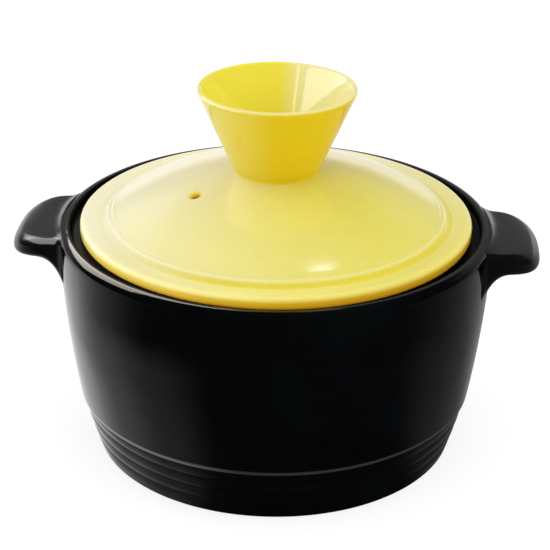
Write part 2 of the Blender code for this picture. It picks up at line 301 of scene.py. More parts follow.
# %% The knob's profile
def knob_profile():
    """From the middle of the cup's floor, up the inside, over the lip and down to the dome."""
    base_height = on_ball(dome_ball, knob_base_radius)
    top = base_height + knob_height
    lip_round = knob_wall / 2
    lean = degrees(atan(knob_taper))
    cup_floor = on_ball(dome_ball, 0) + knob_floor_thickness
    floor_radius = knob_base_radius + knob_taper * (cup_floor - base_height) - knob_wall
    fillet_radius = floor_radius + (knob_taper - 1) * knob_floor_fillet
    foot = knob_base_radius + knob_foot_flare
    sunk_foot = on_ball(dome_ball, foot) - knob_foot_sunk

    points = joined((0, cup_floor), (fillet_radius, cup_floor), 6)[:-1]
    points += arc(fillet_radius, cup_floor + knob_floor_fillet, knob_floor_fillet, -90, -lean, 8)
    lip = arc(knob_rim_radius - lip_round, top - lip_round, lip_round, 180 - lean, -lean, 16)
    points += joined(points[-1], lip[0], 12)[1:-1] + lip
    flare_top = (knob_base_radius + knob_taper * knob_flare_height, base_height + knob_flare_height)
    points += joined(lip[-1], flare_top, 14)[1:]
    flare_reach = flare_top[0] - foot - knob_taper * 0.5 * mm
    for share in between(0, 1, 6)[1:]:
        points.append((foot + flare_reach * (1 - share) ** 2,
                       flare_top[1] + (sunk_foot - flare_top[1]) * share))
    points += [(distance, on_ball(dome_ball - knob_under_sunk, distance))
               for distance in between(foot - 1 * mm, 0, 6)]
    return points


knob_points = knob_profile()
print("knob profile:", len(knob_points), "points")

# %% [markdown]
# ## The wheel
# One Geometry Nodes tree turns any of these profiles, as one wheel makes all three pieces. A grid
# has one row for each point of the profile and one column for each step round. Every corner of it
# looks up its point of the profile by its row, and is swung round the axis by its column. The same
# tree cuts the ribs of the band, because they repeat by a rule, and presses in a hair's breadth of
# unevenness, so that highlights waver as they do on hand-made clay.

# %% Helpers for node trees
def feed(socket, value):
    """Links a socket to another, or sets its own value."""
    if isinstance(value, bpy.types.NodeSocket):
        socket.id_data.links.new(value, socket)
    elif value is not None:
        socket.default_value = value


def add_node(tree, kind, inputs=(), **settings):
    """A node with its settings made and its inputs fed, in order or by name."""
    node = tree.nodes.new(kind)
    for name, value in settings.items():
        setattr(node, name, value)
    pairs = inputs.items() if isinstance(inputs, dict) else enumerate(inputs)
    for key, value in pairs:
        feed(node.inputs[key], value)
    return node


def tree_of(*values):
    """The node tree that the sockets among some values belong to."""
    return next(value.id_data for value in values if isinstance(value, bpy.types.NodeSocket))


def maths(operation, *values):
    """The output of one arithmetic node."""
    return add_node(tree_of(*values), "ShaderNodeMath", values, operation=operation).outputs[0]


def times(first, second):
    """The product of two values."""
    return maths("MULTIPLY", first, second)


def plus(first, second):
    """The sum of two values."""
    return maths("ADD", first, second)


def minus(first, second):
    """The first value less the second."""
    return maths("SUBTRACT", first, second)


def split(vector):
    """The X, Y and Z of a vector."""
    return add_node(vector.id_data, "ShaderNodeSeparateXYZ", [vector]).outputs


# %% The wheel's tree
def wheel_tree():
    """A node tree that turns a profile about the Z axis, and ribs it if it is asked to."""
    tree = bpy.data.node_groups.new("turned_on_the_wheel", "GeometryNodeTree")
    for kind, names in (("Geometry", ["Profile"]), ("Int", ["Steps Round", "Rib Count"]),
                        ("Float", ["Rib Depth", "Rib Top", "Rib Foot", "Unevenness", "Seed"]),
                        ("Material", ["Glaze"])):
        for name in names:
            tree.interface.new_socket(name, in_out="INPUT", socket_type="NodeSocket" + kind)
    tree.interface.new_socket("Clay", in_out="OUTPUT", socket_type="NodeSocketGeometry")
    given = tree.nodes.new("NodeGroupInput").outputs

    def geometry(kind, inputs=(), **settings):
        """The first output of a geometry node."""
        return add_node(tree, "GeometryNode" + kind, inputs, **settings).outputs[0]

    rows = geometry("AttributeDomainSize", [given["Profile"]])
    columns = plus(given["Steps Round"], 1)
    sheet = geometry("MeshGrid", {"Vertices X": columns, "Vertices Y": rows})
    corner = geometry("InputIndex")
    column = maths("FLOOR", maths("DIVIDE", plus(corner, 0.5), rows))
    row = minus(corner, times(column, rows))

    def in_this_row(value, kind):
        """A value of the profile's point that this row stands for."""
        return geometry("SampleIndex", {"Geometry": given["Profile"], "Value": value, "Index": row},
                        data_type=kind, domain="POINT")

    place = geometry("InputPosition")
    point = split(in_this_row(place, "FLOAT_VECTOR"))
    rib_here = in_this_row(geometry("InputNamedAttribute", ["ribbed"], data_type="FLOAT"), "FLOAT")

    # A rib is highest in its middle, and falls away as a square towards the grooves.
    pitch = maths("DIVIDE", minus(given["Rib Top"], given["Rib Foot"]),
                  maths("MAXIMUM", given["Rib Count"], 1))
    down = minus(given["Rib Top"], point["Z"])
    phase = maths("FRACT", maths("DIVIDE", down, maths("MAXIMUM", pitch, 1e-6)))
    groove = maths("POWER", maths("ABSOLUTE", maths("MULTIPLY_ADD", phase, 2, -1)), 2)
    above_last = maths("GREATER_THAN", point["Z"],
                       maths("MULTIPLY_ADD", pitch, 0.5, given["Rib Foot"]))
    cut = times(times(groove, above_last), times(given["Rib Depth"], rib_here))
    radius = minus(point["X"], cut)

    turn = maths("DIVIDE", times(column, 2 * pi), given["Steps Round"])
    clockwise = times(turn, -1)
    swung = add_node(tree, "ShaderNodeCombineXYZ",
                     [times(radius, maths("COSINE", clockwise)),
                      times(radius, maths("SINE", clockwise)), point["Z"]]).outputs[0]
    turned = geometry("SetPosition", {"Geometry": sheet, "Position": swung})
    closed = geometry("MergeByDistance", {"Geometry": turned, "Distance": 0.001 * mm})

    # Unevenness only presses inwards, so the piece never outgrows its measures.
    ripple = add_node(tree, "ShaderNodeTexNoise",
                      {"Vector": place, "W": given["Seed"], "Scale": 26, "Detail": 1},
                      noise_dimensions="4D").outputs[0]
    press = times(ripple, times(given["Unevenness"], -1))
    shift = add_node(tree, "ShaderNodeVectorMath",
                     {"Vector": geometry("InputNormal"), "Scale": press}, operation="SCALE")
    pressed = geometry("SetPosition", {"Geometry": closed, "Offset": shift.outputs[0]})

    smooth = geometry("SetShadeSmooth", {"Geometry": pressed}, domain="FACE")
    crisp = maths("GREATER_THAN", geometry("InputMeshEdgeAngle"), radians(40))
    creased = geometry("SetShadeSmooth", {"Geometry": smooth, "Selection": crisp,
                                          "Shade Smooth": False}, domain="EDGE")
    whole = geometry("RealizeInstances", [creased])
    glazed = geometry("SetMaterial", {"Geometry": whole, "Material": given["Glaze"]})
    feed(tree.nodes.new("NodeGroupOutput").inputs[0], glazed)
    return tree


wheel = wheel_tree()
print("wheel tree:", len(wheel.nodes), "nodes")

# %% [markdown]
# ## Glazes
# A glaze is a skin of coloured glass. What the eye reads as glaze is a sharp reflection over a
# colour that pools and thins, a surface as faintly dimpled as an orange, and a pinhole here and
# there. Each is a noise at its own scale, in metres, on the piece's own coordinates.

# %% Helpers for a glaze
def new_glaze(name):
    """A material, its shader, and the piece's own coordinates."""
    material = bpy.data.materials.new(name)
    material.use_nodes = True
    spot = add_node(material.node_tree, "ShaderNodeTexCoord").outputs["Object"]
    return material, material.node_tree.nodes["Principled BSDF"], spot


def noise(spot, size, detail=2, seed=0.0, roughness=0.5):
    """Cloudy noise whose blotches are about the given size in metres, from 0 to 1."""
    return add_node(tree_of(spot), "ShaderNodeTexNoise",
                    {"Vector": spot, "W": seed, "Scale": 1 / size, "Detail": detail,
                     "Roughness": roughness}, noise_dimensions="4D").outputs[0]


def spread(value, low, high, to_low=0.0, to_high=1.0, smooth=False):
    """A value moved from one range to another and held at the ends."""
    return add_node(tree_of(value), "ShaderNodeMapRange", [value, low, high, to_low, to_high],
                    interpolation_type="SMOOTHSTEP" if smooth else "LINEAR").outputs[0]


def blend_colour(share, first, second):
    """A mix of two colours, each a socket or three numbers."""
    node = add_node(tree_of(share), "ShaderNodeMix", [share], data_type="RGBA")
    sockets = [socket for socket in node.inputs if socket.type == "RGBA"]
    for socket, colour in zip(sockets, (first, second)):
        feed(socket, (*colour, 1) if isinstance(colour, tuple) else colour)
    return next(socket for socket in node.outputs if socket.type == "RGBA")


def layered(colour, *layers):
    """A colour with others laid over it in turn, each given as (share, colour)."""
    for share, over in layers:
        colour = blend_colour(share, colour, over)
    return colour


def within(value, rise, fall, smooth=False):
    """1 where a value lies between two edges, each given as (where it is 0, where it is 1)."""
    return times(spread(value, *rise, smooth=smooth), spread(value, *fall, smooth=smooth))


def relief(*layers):
    """A surface normal from several heights, each given as (height, metres that it stands)."""
    normal = None
    for height, stands in layers:
        normal = add_node(tree_of(height), "ShaderNodeBump",
                          {"Height": height, "Distance": stands, "Normal": normal}).outputs[0]
    return normal


def pinholes(spot, spacing, radius, seed=(0, 0, 0), rarity=0.82):
    """1 in the middle of scattered pinholes and 0 elsewhere."""
    tree = tree_of(spot)
    moved = add_node(tree, "ShaderNodeVectorMath", [spot, seed], operation="ADD").outputs[0]
    cells = add_node(tree, "ShaderNodeTexVoronoi", {"Vector": moved, "Scale": 1 / spacing},
                     feature="F1").outputs
    chosen = maths("GREATER_THAN", split(cells["Color"])[0], rarity)
    return times(spread(cells["Distance"], 0, radius / spacing, 1, 0, smooth=True), chosen)


def distance_from_axis(spot, x=0.0, y=0.0):
    """How far a point of the piece lies from an upright line."""
    parts = split(spot)
    across, along = minus(parts["X"], x), minus(parts["Y"], y)
    return maths("SQRT", plus(times(across, across), times(along, along)))


def bare_clay_mix(share, glaze_colour, glaze_roughness, spot):
    """Colour and roughness where the glaze was wiped off, so that the piece didn't stick."""
    grain = noise(spot, 1.1 * mm, 3, 4.0)
    clay = blend_colour(grain, (0.36, 0.20, 0.11), (0.50, 0.31, 0.19))
    roughness = add_node(tree_of(share), "ShaderNodeMix", {0: share, 2: glaze_roughness, 3: 0.85},
                         data_type="FLOAT").outputs[0]
    return blend_colour(share, glaze_colour, clay), roughness


def wear(shader, colour, roughness, *layers):
    """Gives a shader its colour, its roughness and the relief of its surface."""
    feed(shader.inputs["Base Color"], colour)
    feed(shader.inputs["Roughness"], roughness)
    feed(shader.inputs["Normal"], relief(*layers))


# %% [markdown]
# The pot's black glaze is deep and glossy. It isn't quite neutral: where it runs thicker it leans
# towards a bluish green. The flat ring that stands in the kiln is wiped bare and shows the clay.

# %% Black gloss glaze of the pot
def black_gloss_glaze():
    material, shader, spot = new_glaze("black_gloss_glaze")
    across, _, height = split(spot)
    out = distance_from_axis(spot)
    pooled = noise(spot, 42 * mm, 3, 1.5)
    cloudy = noise(spot, 9 * mm, 4, 7.5)
    black = blend_colour(spread(pooled, 0.35, 0.7), (0.0012, 0.0012, 0.0018),
                         (0.0022, 0.0032, 0.0036))
    gloss = spread(noise(spot, 6 * mm, 3, 3.5), 0.3, 0.7, 0.05, 0.09)

    # On the corner above the band a grey line is painted as a highlight, brightest on the left.
    corner = within(height, (wall_low - 1.5 * mm, wall_low - 0.9 * mm),
                    (wall_low + 1.6 * mm, wall_low + 0.7 * mm))
    painted_step_highlight = times(corner, maths("GREATER_THAN", out, 98 * mm))
    step_highlight_grey = blend_colour(spread(across, -10 * mm, -95 * mm), (0.034, 0.036, 0.035),
                        (0.28, 0.28, 0.27))
    black = layered(black, (spread(cloudy, 0.55, 0.8, 0, 0.5), (0.0036, 0.0042, 0.0046)),
                    (painted_step_highlight, step_highlight_grey))

    # The sunk ledge inside the rim is dull, and the flat ring underfoot is bare.
    ledge = times(spread(height, ledge_height - 1 * mm, ledge_height),
                  spread(out, ledge_radius + 1.3 * mm, ledge_radius + 1.0 * mm))
    gloss = maths("MAXIMUM", gloss, times(ledge, 0.4))
    feed(shader.inputs["Specular IOR Level"], maths("MULTIPLY_ADD", ledge, -0.48, 0.5))
    wiped = spread(height, 0.25 * mm, 0.05 * mm)
    colour, roughness = bare_clay_mix(wiped, black, gloss, spot)
    wear(shader, colour, roughness, (noise(spot, 11 * mm, 1, 2.0), 0.10 * mm),
         (noise(spot, 1.6 * mm, 1, 9.0), 0.012 * mm),
         (pinholes(spot, 7 * mm, 0.35 * mm), -0.10 * mm))
    return material


# %% [markdown]
# The lugs wear a drier, satin black. Light spreads over it, so their tops look dark grey, with a
# fine tooth like eggshell, while their rounded edges still catch a highlight.

# %% Black satin glaze of the lugs
def black_satin_glaze():
    material, shader, spot = new_glaze("black_satin_glaze")
    tooth = noise(spot, 0.7 * mm, 3, 5.5)
    cloudy = noise(spot, 14 * mm, 3, 8.5)
    black = blend_colour(spread(cloudy, 0.35, 0.7), (0.0026, 0.0028, 0.0032),
                         (0.0050, 0.0054, 0.0056))
    black = blend_colour(spread(tooth, 0.56, 0.72, 0, 0.5), black, (0.011, 0.011, 0.0108))
    wear(shader, black, spread(cloudy, 0.3, 0.7, 0.15, 0.20),
         (noise(spot, 8 * mm, 1, 6.0), 0.06 * mm), (tooth, 0.008 * mm))
    return material


# %% [markdown]
# The lid's yellow glaze has painted light on it: it is paler towards the back left, the side the
# light comes from, and paler still on the flat flange there. Molten glaze runs: it pools to a deep
# yellow in the groove, thins over the beads, and thins to amber on the flange's edge and on the lip
# of the vent. Painted highlights make the beads nearly white, and painted shade darkens the dome,
# the foot of the flange and the inside of the vent.

# %% Pale yellow glaze of the lid
vent_x = vent_offset * cos(vent_bearing)
vent_y = vent_offset * sin(vent_bearing)
shade = (0.0, 0.0, 0.0)


def pale_yellow_glaze():
    material, shader, spot = new_glaze("pale_yellow_glaze")
    across, along, height = split(spot)
    out = distance_from_axis(spot)
    past_middle = maths("MAXIMUM", out, 25 * mm)
    pooled = noise(spot, 36 * mm, 3, 2.5)
    mottle = noise(spot, 3.5 * mm, 4, 6.5)
    yellow = blend_colour(spread(pooled, 0.3, 0.7), (0.82, 0.73, 0.105), (0.84, 0.75, 0.135))

    # How much painted light makes the glaze paler, from 0 at the front right to 1 at the lit back
    # left.
    lit_side = maths("DIVIDE", minus(along, across), past_middle)
    painted_pale_light = spread(plus(lit_side, spread(out, 45 * mm, 95 * mm, -0.10, 0.16)), -1.45, 0.8)
    # Painted shade darkens the back right, most of all on the dome.
    far_side = maths("DIVIDE", plus(across, along), past_middle)
    painted_shade_back_right = times(spread(far_side, 0.95, 1.4, 0, 0.11), spread(out, 92 * mm, 84 * mm, 0.4, 1))

    # The groove, where glaze pools deep yellow, less so under the painted light; the bead inside it,
    # thinned, with a painted highlight that is strongest on the lit side; and the flange, painted
    # paler on the lit side.
    groove = within(out, (groove_radius - 2.5 * mm, groove_radius - 1.5 * mm),
                    (groove_radius + 1.8 * mm, groove_radius + 0.1 * mm), smooth=True)
    in_groove = times(groove, spread(painted_pale_light, 0.35, 0.75, 0.75, 0.0))
    off_bead = maths("ABSOLUTE", minus(out, beads[0][0] + 0.1 * mm))
    bead_thinning_and_highlight = times(spread(off_bead, 1.1 * mm, 0.2 * mm, 0, 0.34, smooth=True),
                    spread(painted_pale_light, 0.2, 0.8, 0.9, 1.3))
    bead_highlight_colour = blend_colour(spread(painted_pale_light, 0.3, 0.8), (0.95, 0.88, 0.55), (1.0, 0.98, 0.84))
    painted_light_flange = times(spread(out, 87 * mm, 92 * mm), spread(painted_pale_light, 0.75, 1.0, 0, 0.8))

    # The flange's edge, where the glaze thins to amber, painted darker towards the shaded front
    # right and lighter towards the lit back left, and a browner line of painted shade along the foot
    # of it.
    edge = lid_radius - 1.4 * mm
    run_off = times(spread(out, edge, lid_radius - 0.3 * mm, 0, 0.92, smooth=True),
                    spread(height, flange_top - 0.6 * mm, flange_height - 0.1 * mm))
    edge_amber_lit_and_shaded = blend_colour(spread(painted_pale_light, 0.1, 0.3), (0.84, 0.45, 0.003), (0.90, 0.56, 0.006))
    edge_amber_lit_and_shaded = blend_colour(spread(painted_pale_light, 0.3, 0.8), edge_amber_lit_and_shaded, (0.99, 0.80, 0.13))
    painted_shade_line = times(spread(out, edge, lid_radius - 0.6 * mm),
                       spread(height, flange_foot + 2.4 * mm, flange_foot + 1 * mm, 0, 0.9))

    # The vent: thin on its lip, and painted dark brown shade down inside.
    from_vent = distance_from_axis(spot, vent_x, vent_y)
    on_vent_lip = spread(from_vent, 4.4 * mm, 2.6 * mm, 0, 0.9, smooth=True)
    vent_top = on_ball(dome_ball, vent_offset)
    painted_shade_in_vent = times(spread(height, vent_top - 2.2 * mm, vent_top - 3.6 * mm),
                    spread(from_vent, 3.4 * mm, 2.8 * mm))

    # Over the glaze go painted light, painted highlights on the bead and painted shade: a little on
    # the whole dome from its foot inwards, and more at its back right.
    yellow = layered(yellow, (painted_pale_light, (0.94, 0.875, 0.57)), (in_groove, (0.81, 0.67, 0.035)),
                     (bead_thinning_and_highlight, bead_highlight_colour), (spread(out, 89 * mm, 84 * mm, 0, 0.07), shade),
                     (painted_shade_back_right, shade), (painted_light_flange, (1.0, 0.94, 0.66)),
                     (spread(mottle, 0.5, 0.8, 0, 0.25), (0.88, 0.80, 0.30)),
                     (run_off, edge_amber_lit_and_shaded), (painted_shade_line, (0.90, 0.40, 0.012)),
                     (on_vent_lip, (0.86, 0.62, 0.03)), (painted_shade_in_vent, (0.10, 0.045, 0.006)))
    gloss = spread(noise(spot, 5 * mm, 3, 3.0), 0.3, 0.7, 0.12, 0.19)
    seat = times(maths("COMPARE", height, seat_height, 0.15 * mm),
                 maths("GREATER_THAN", out, ring_radius))
    colour, roughness = bare_clay_mix(seat, yellow, gloss, spot)
    wear(shader, colour, roughness, (noise(spot, 13 * mm, 1, 1.0), 0.10 * mm),
         (noise(spot, 1.8 * mm, 1, 4.0), 0.010 * mm),
         (pinholes(spot, 9 * mm, 0.3 * mm, (0.02, 0.01, 0)), -0.08 * mm))
    return material


# %% [markdown]
# The knob was dipped twice, so its yellow is deeper. Painted light makes it paler to the left, like
# the lid. On the sharp lip the glaze pulls back and a pale line is left. Inside the cup it is
# glossier, and a creamy painted reflection lies on the side that faces the light.

# %% Deep yellow glaze of the knob
def deep_yellow_glaze():
    material, shader, spot = new_glaze("deep_yellow_glaze")
    across, _, height = split(spot)
    out = distance_from_axis(spot)
    knob_top = on_ball(dome_ball, knob_base_radius) + knob_height
    pooled = noise(spot, 24 * mm, 3, 4.5)
    mottle = noise(spot, 2.5 * mm, 4, 9.5)
    yellow = blend_colour(spread(pooled, 0.3, 0.7), (0.88, 0.61, 0.003), (0.89, 0.64, 0.006))
    lip = spread(height, knob_top - 1.6 * mm, knob_top - 0.3 * mm, 0, 0.8, smooth=True)
    wall_middle = maths("MULTIPLY_ADD", height, knob_taper,
                        knob_rim_radius - knob_wall / 2 - knob_taper * knob_top)
    inside = maths("LESS_THAN", out, wall_middle)
    # A painted reflection makes the right of the cup's inside creamy, and painted light makes the
    # left of the knob paler.
    painted_reflection_inside = times(inside, spread(across, -3 * mm, 13 * mm, 0, 0.7, smooth=True))
    yellow = layered(yellow, (spread(across, 1 * mm, -38 * mm), (0.97, 0.90, 0.17)),
                     (spread(mottle, 0.5, 0.8, 0, 0.4), (0.87, 0.71, 0.03)),
                     (lip, (0.88, 0.80, 0.36)), (inside, (0.88, 0.77, 0.07)),
                     (painted_reflection_inside, (0.90, 0.86, 0.56)))
    gloss = spread(noise(spot, 5 * mm, 3, 5.0), 0.3, 0.7, 0.12, 0.20)
    wear(shader, yellow, times(gloss, spread(inside, 0, 1, 1, 0.4)),
         (noise(spot, 12 * mm, 1, 3.0), 0.08 * mm),
         (noise(spot, 1.8 * mm, 1, 8.0), 0.010 * mm))
    return material


glazes = {"pot_glaze": black_gloss_glaze(), "handle_glaze": black_satin_glaze(),
          "lid_glaze": pale_yellow_glaze(), "knob_glaze": deep_yellow_glaze()}
print("glazes:", [glaze.name for glaze in glazes.values()])

# %% [markdown]
# ## Turning the pot, the lid and the knob
# Each profile becomes a line of points, the wheel's tree turns it, and the result is kept as a
# plain mesh. The modifier's inputs are set by their identifiers before anything is evaluated.

# %% Turn a piece
def keep_result(piece):
    """Makes what a piece's modifiers show its own plain mesh, and removes them."""
    depsgraph = bpy.context.evaluated_depsgraph_get()
    result = bpy.data.meshes.new_from_object(piece.evaluated_get(depsgraph))
    piece.modifiers.clear()
    piece.data = result


def throw(name, points, glaze, ribbed, steps_round, unevenness, seed, **more):
    """A named piece, turned from its profile by the wheel's tree."""
    line = bpy.data.meshes.new(name + "_profile")
    links = [(index, index + 1) for index in range(len(points) - 1)]
    line.from_pydata([(radius, 0, height) for radius, height in points], links, [])
    marks = line.attributes.new("ribbed", "FLOAT", "POINT")
    for index in ribbed:
        marks.data[index].value = 1
    piece = put_in_scene(name, line)

    modifier = piece.modifiers.new("wheel", "NODES")
    modifier.node_group = wheel
    wanted = {"Steps Round": steps_round, "Unevenness": unevenness, "Seed": seed, "Glaze": glaze,
              **more}
    for socket in wheel.interface.items_tree:
        if socket.in_out == "INPUT" and socket.name in wanted:
            modifier[socket.identifier] = wanted[socket.name]
    keep_result(piece)
    piece.data.name = name
    bpy.data.meshes.remove(line)
    return piece


def clay_volume(piece):
    """Millilitres of clay, negative if its faces point inwards, and the number of open edges."""
    build = bmesh.new()
    build.from_mesh(piece.data)
    volume = build.calc_volume(signed=True)
    open_edges = sum(not edge.is_manifold for edge in build.edges)
    build.free()
    return round(volume * 1e6, 1), open_edges


pot = throw("turned_pot", pot_points, glazes["pot_glaze"], ribbed_points, 256, 0.12 * mm, 3.0,
            **{"Rib Count": rib_count, "Rib Depth": rib_depth, "Rib Top": band_height,
               "Rib Foot": foot_edge_round})
lid = throw("turned_lid", lid_points, glazes["lid_glaze"], (), 256, 0.08 * mm, 5.0)
knob = throw("turned_knob", knob_points, glazes["knob_glaze"], (), 192, 0.06 * mm, 7.0)
for piece in (pot, lid, knob):
    print(piece.name, len(piece.data.polygons), "faces, ml and open edges:", clay_volume(piece))

# %% [markdown]
# ## The steam vent
# The vent is pushed through the leather-hard dome with a small round tool, and its mouth is
# softened with a wet finger. A flared plug, turned the same way, is taken out of the lid.

# %% Pierce the lid
plug_depth, plug_head, plug_sides = 12 * mm, 4 * mm, 40


def mesh_of(build, name, material):
    """The shape that was being built, as a mesh in one material."""
    mesh = bpy.data.meshes.new(name)
    build.to_mesh(mesh)
    build.free()
    mesh.materials.append(material)
    return mesh


def vent_plug():
    """A plug with a flared head, which stands where the vent goes."""
    surface = on_ball(dome_ball, vent_offset)
    flare_round = vent_mouth_radius - vent_radius
    outline = [(vent_radius, -plug_depth)]
    outline += arc(vent_mouth_radius, -flare_round, flare_round, 180, 95, 8)
    outline += [(vent_mouth_radius + 0.4 * mm, plug_head)]
    build = bmesh.new()
    rings = [[build.verts.new((radius * cos(turn), radius * sin(turn), height))
              for turn in between(0, 2 * pi, plug_sides)[:-1]] for radius, height in outline]
    for low, high in zip(rings, rings[1:]):
        for step in range(plug_sides):
            following = (step + 1) % plug_sides
            build.faces.new((low[step], low[following], high[following], high[step]))
    build.faces.new(list(reversed(rings[0])))
    build.faces.new(rings[-1])
    upright = Vector((vent_offset, 0, surface - dome_centre)).to_track_quat("Z", "Y")
    place = (Matrix.Rotation(vent_bearing, 4, "Z") @ Matrix.Translation((vent_offset, 0, surface))
             @ upright.to_matrix().to_4x4())
    bmesh.ops.transform(build, matrix=place, verts=build.verts)
    bmesh.ops.recalc_face_normals(build, faces=build.faces)
    return put_in_scene("vent_plug", mesh_of(build, "vent_plug", glazes["lid_glaze"]))


def pierce(piece, plug):
    """Takes the plug out of the piece, and keeps the result as its mesh."""
    modifier = piece.modifiers.new("vent", "BOOLEAN")
    modifier.object = plug
    modifier.operation = "DIFFERENCE"
    modifier.solver = "EXACT"
    keep_result(piece)
    bpy.data.objects.remove(plug)
    for polygon in piece.data.polygons:
        polygon.use_smooth = True
    piece.data.set_sharp_from_angle(angle=radians(50))


pierce(lid, vent_plug())
print("pierced lid, ml and open edges:", clay_volume(lid), "materials:", len(lid.data.materials))

# %% [markdown]
# ## The lugs
# A lug is a slab of clay with a squarish outline, stuck on under the rim. Its top flows out of the
# rim in a soft hollow and droops towards the tip, its underside is arched so that fingers get a
# grip, and all its edges are rounded with a sponge. It is a sheet of points that runs over the top,
# round the edge and back underneath, with its root hidden in the thickness of the wall.

# %% Measures of the lugs
lug_reach = 23.6 * mm
lug_half_width = 31.8 * mm
lug_depth = 32.0 * mm
lug_squareness = 3.0
lug_thickness = 10.6 * mm
lug_top_height = rim_height - 3.0 * mm
lug_root_height = lug_top_height - lug_thickness
lug_tip = rim_radius + lug_reach
lug_top_droop = 4.8 * mm
lug_under_droop = 2.6 * mm
droop_start = 118.5 * mm
crease_start = 109.5 * mm
crease_reach = 9.0 * mm
crease_rise = 3.0 * mm
arch_reach = 14.0 * mm
arch_drop = 13.5 * mm
arch_start = wall_radius(lug_root_height) - 0.8 * mm
smear_width = 2.4 * mm
smear_reach = 5.0 * mm
lug_hidden_from = 106.2 * mm   # inside the rim's thickness the top dips out of sight
lug_hidden_to = 109.3 * mm
lug_hidden_height = 112 * mm
lug_edge_round = 4.4 * mm
lug_fuller_at_tip = 0.8 * mm
lug_lower_round = 3.3 * mm


# %% Shape of a lug
def hollow(distance, start, reach):
    """A smooth hollow that begins at 1 where a face meets the wall and ends level at 0."""
    return (1 - min(max((distance - start) / reach, 0), 1)) ** 3


def droop_share(distance):
    """How far along a lug a point lies, from the crease at 0 to the tip at 1, squared."""
    return max((distance - droop_start) / (lug_tip - droop_start), 0) ** 2


def lug_top(distance, sideways):
    """Height of the top face. Inside the rim's thickness it dips, so that nothing shows there."""
    fading = 1 - 0.55 * min(abs(sideways) / lug_half_width, 1) ** 4
    height = lug_top_height + crease_rise * fading * hollow(distance, crease_start, crease_reach)
    height -= lug_top_droop * droop_share(distance)
    hidden = 1 - ease(distance, lug_hidden_from, lug_hidden_to)
    return height - (height - lug_hidden_height) * hidden


def lug_under(distance, sideways):
    """Height of the underside, arched down into the wall and the same right across."""
    drop = arch_drop * hollow(distance, arch_start, arch_reach)
    return lug_root_height - drop - lug_under_droop * droop_share(distance)


def lug_outline(turn, inset, share):
    """A point of the lug's squarish outline, drawn in by an inset and towards the root. The sides
    widen where they meet the wall, as a thumb smears the slip there."""
    corner = abs(cos(turn)) ** lug_squareness + abs(sin(turn)) ** lug_squareness
    reach = corner ** (-1 / lug_squareness)
    x = lug_tip - lug_depth + share * (lug_depth - inset) * reach * cos(turn)
    y = share * (lug_half_width - inset) * reach * sin(turn)
    smear = smear_width * hollow(hypot(x, y), rim_radius - 1.0 * mm, smear_reach)
    return x, y * (1 + smear / lug_half_width)


above, below = -1, 1


def lug_row(turns, side, share, bend):
    """A row of points on one side of the lug: at a share of the way out to its edge, and then bent
    round the edge by an angle."""
    row = []
    for turn in turns:
        fuller = lug_edge_round + lug_fuller_at_tip * max(cos(turn), 0) ** 2
        size, height_at = (lug_lower_round, lug_under) if side == below else (fuller, lug_top)
        x, y = lug_outline(turn, size * (1 - sin(bend)), share)
        row.append((x, y, height_at(hypot(x, y), y) + side * size * (1 - cos(bend))))
    return row


def lug_rows(turns):
    """Rows of points over the top face, round the edge and back under."""
    shares, quarter = between(0, 1, 30)[:-1], between(0, pi / 2, 8)
    steps = [(above, share, 0) for share in shares] + [(above, 1, bend) for bend in quarter]
    steps += [(below, share, bend) for side, share, bend in reversed(steps)]
    return [lug_row(turns, *step) for step in steps]


def shape_lug(name, turn_about):
    """One lug as a closed mesh, turned about the pot's axis to its side."""
    turns = [radians(angle) for angle in between(-90, 90, 120)]
    build = bmesh.new()
    rows = [[build.verts.new(point) for point in row] for row in lug_rows(turns)]
    for row, following in zip(rows, rows[1:]):
        for step in range(len(turns) - 1):
            build.faces.new((row[step], row[step + 1], following[step + 1], following[step]))
    bmesh.ops.remove_doubles(build, verts=build.verts, dist=0.002 * mm)
    bmesh.ops.holes_fill(build, edges=[edge for edge in build.edges if edge.is_boundary])
    bmesh.ops.transform(build, matrix=Matrix.Rotation(turn_about, 4, "Z"), verts=build.verts)
    bmesh.ops.recalc_face_normals(build, faces=build.faces)
    for face in build.faces:
        face.smooth = True
    return put_in_scene(name, mesh_of(build, name, glazes["handle_glaze"]))


right_lug = shape_lug("right_lug", 0)
left_lug = shape_lug("left_lug", pi)
for piece in (right_lug, left_lug):
    print(piece.name, len(piece.data.polygons), "faces, ml and open edges:", clay_volume(piece))

# %% [markdown]
# ## Fitting the pieces to the model
# The pot and its lugs are fired into one, and the lid lifts off with its knob. So each piece is
# told which body it rides on and which plain solid it stands for.

# %% Ride and replace
for piece, body, node, glaze in ((pot, "pot", "pot_body", "pot_glaze"),
                                 (right_lug, "pot", "right_handle", "handle_glaze"),
                                 (left_lug, "pot", "left_handle", "handle_glaze"),
                                 (lid, "lid", "lid", "lid_glaze"),
                                 (knob, "lid", "lid_knob", "knob_glaze")):
    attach(piece, body)
    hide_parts(node)
    print(piece.name, "stands for", node, "on", body)

# %% [markdown]
# ## The floor
# The photograph's ground is plain white. A sheet of card stands in for it: the camera sees it
# nearly white, with the pot's soft shadow on it. Glossy glaze mirrors the ground too, and there it
# is bright behind the pot and to its left, and dark in front, as if black cloth hung there. That is
# what keeps the front of a black pot black.

# %% Lay the floor
floor_half_width = 6.0
card_glow = 0.76
card_bounce = 0.75
floor_in_gloss = ((-180, 1.0), (-115, 1.0), (-78, 0.48), (-48, 0.21), (-20, 0.0), (54, 0.0),
                  (76, 0.09), (95, 0.13), (126, 0.31), (180, 1.0))   # bearing, brightness


def ray_kinds(tree):
    """Three switches: seen by the camera, by itself or through glass; seen in a gloss; and
    lighting something else by bouncing."""
    path = tree.nodes.new("ShaderNodeLightPath").outputs
    direct = maths("MAXIMUM", path["Is Camera Ray"], path["Is Transmission Ray"])
    return direct, path["Is Glossy Ray"], path["Is Diffuse Ray"]


